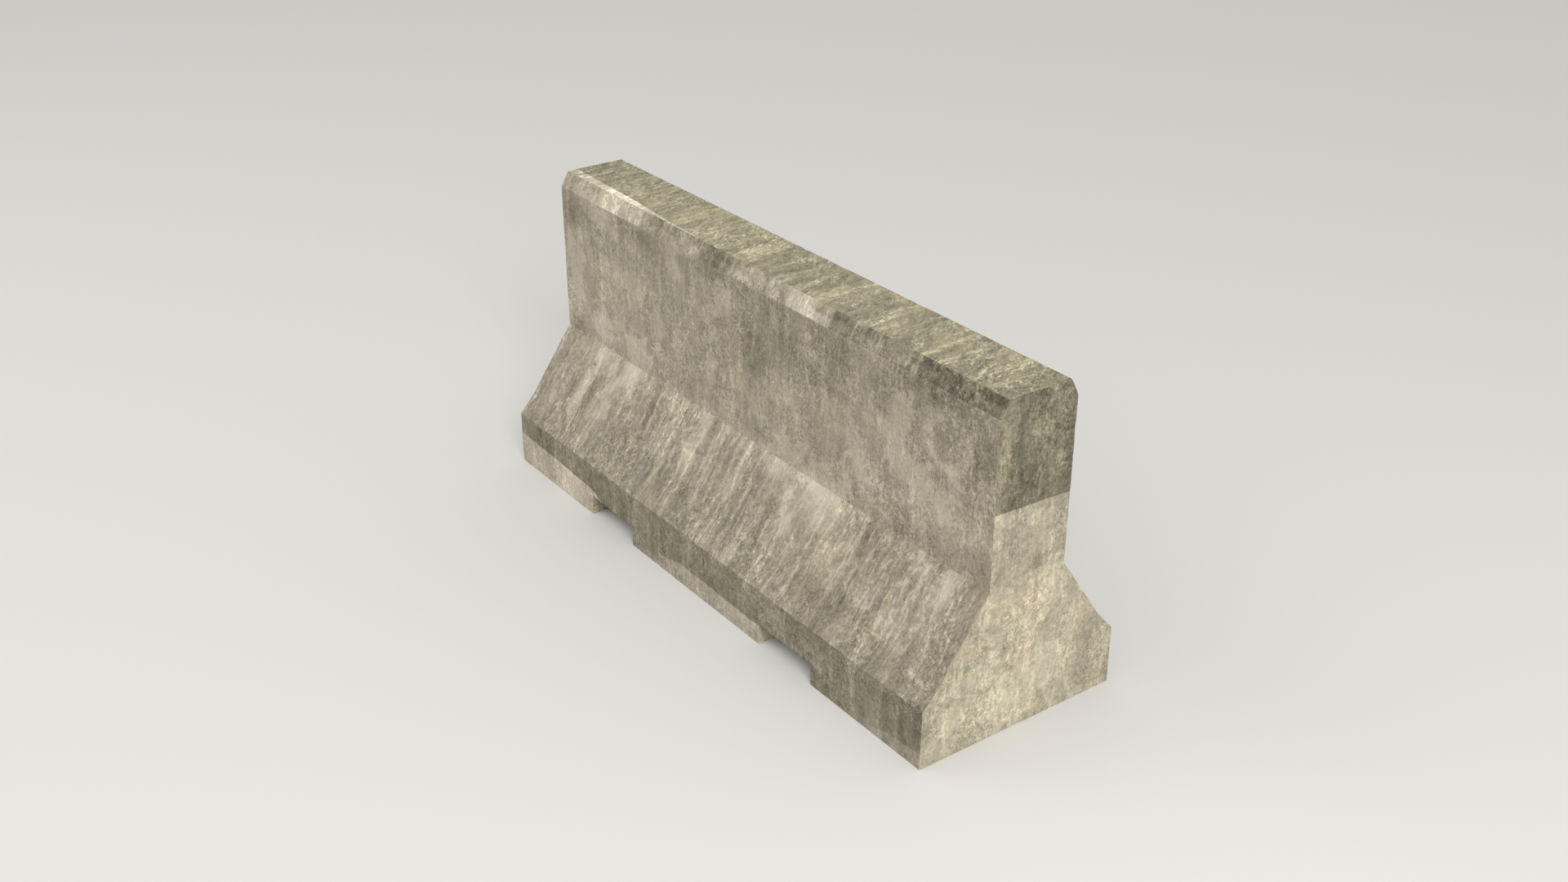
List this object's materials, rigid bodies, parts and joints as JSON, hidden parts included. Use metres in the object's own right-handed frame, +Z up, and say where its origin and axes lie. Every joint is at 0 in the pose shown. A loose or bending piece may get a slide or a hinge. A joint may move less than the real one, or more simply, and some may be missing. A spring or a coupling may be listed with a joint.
{
  "type": "concrete jersey barrier",
  "caption": "Short precast concrete safety barrier with sloped sides, a chamfered top, plain ends, fork slots through the foot and a tied steel cage cast inside.",
  "frame": {"origin": "centre of the footprint, on the ground", "axes": "+X along the barrier, the front face looks along -Y, +Z up"},
  "size_m": [1.83, 0.586, 0.857],
  "materials": {
    "concrete": "matte",
    "rebar_steel": "matte",
    "mortar": "matte",
    "tie_wire": "satin"
  },
  "bodies": {
    "root": {"concrete_body": "concrete", "wall_stirrup_1": "rebar_steel", "wall_stirrup_2": "rebar_steel", "wall_stirrup_3": "rebar_steel", "wall_stirrup_4": "rebar_steel", "wall_stirrup_5": "rebar_steel", "wall_stirrup_6": "rebar_steel", "wall_stirrup_7": "rebar_steel", "base_stirrup_1": "rebar_steel", "base_stirrup_2": "rebar_steel", "base_stirrup_3": "rebar_steel", "base_stirrup_4": "rebar_steel", "base_stirrup_5": "rebar_steel", "base_stirrup_6": "rebar_steel", "base_stirrup_7": "rebar_steel", "top_bar_front": "rebar_steel", "top_bar_back": "rebar_steel", "upper_bar_front": "rebar_steel", "upper_bar_back": "rebar_steel", "lower_bar_front": "rebar_steel", "lower_bar_back": "rebar_steel", "slope_bar_front": "rebar_steel", "slope_bar_back": "rebar_steel", "toe_bar_front": "rebar_steel", "toe_bar_back": "rebar_steel", "inner_bar_front": "rebar_steel", "inner_bar_back": "rebar_steel", "end_hairpin_left_upper": "rebar_steel", "end_hairpin_left_lower": "rebar_steel", "end_hairpin_right_upper": "rebar_steel", "end_hairpin_right_lower": "rebar_steel", "slot_bar_left_front": "rebar_steel", "slot_bar_left_back": "rebar_steel", "slot_bar_right_front": "rebar_steel", "slot_bar_right_back": "rebar_steel", "wall_spacers": "mortar", "base_chairs": "mortar", "tie_wires": "tie_wire"}
  },
  "joints": []
}
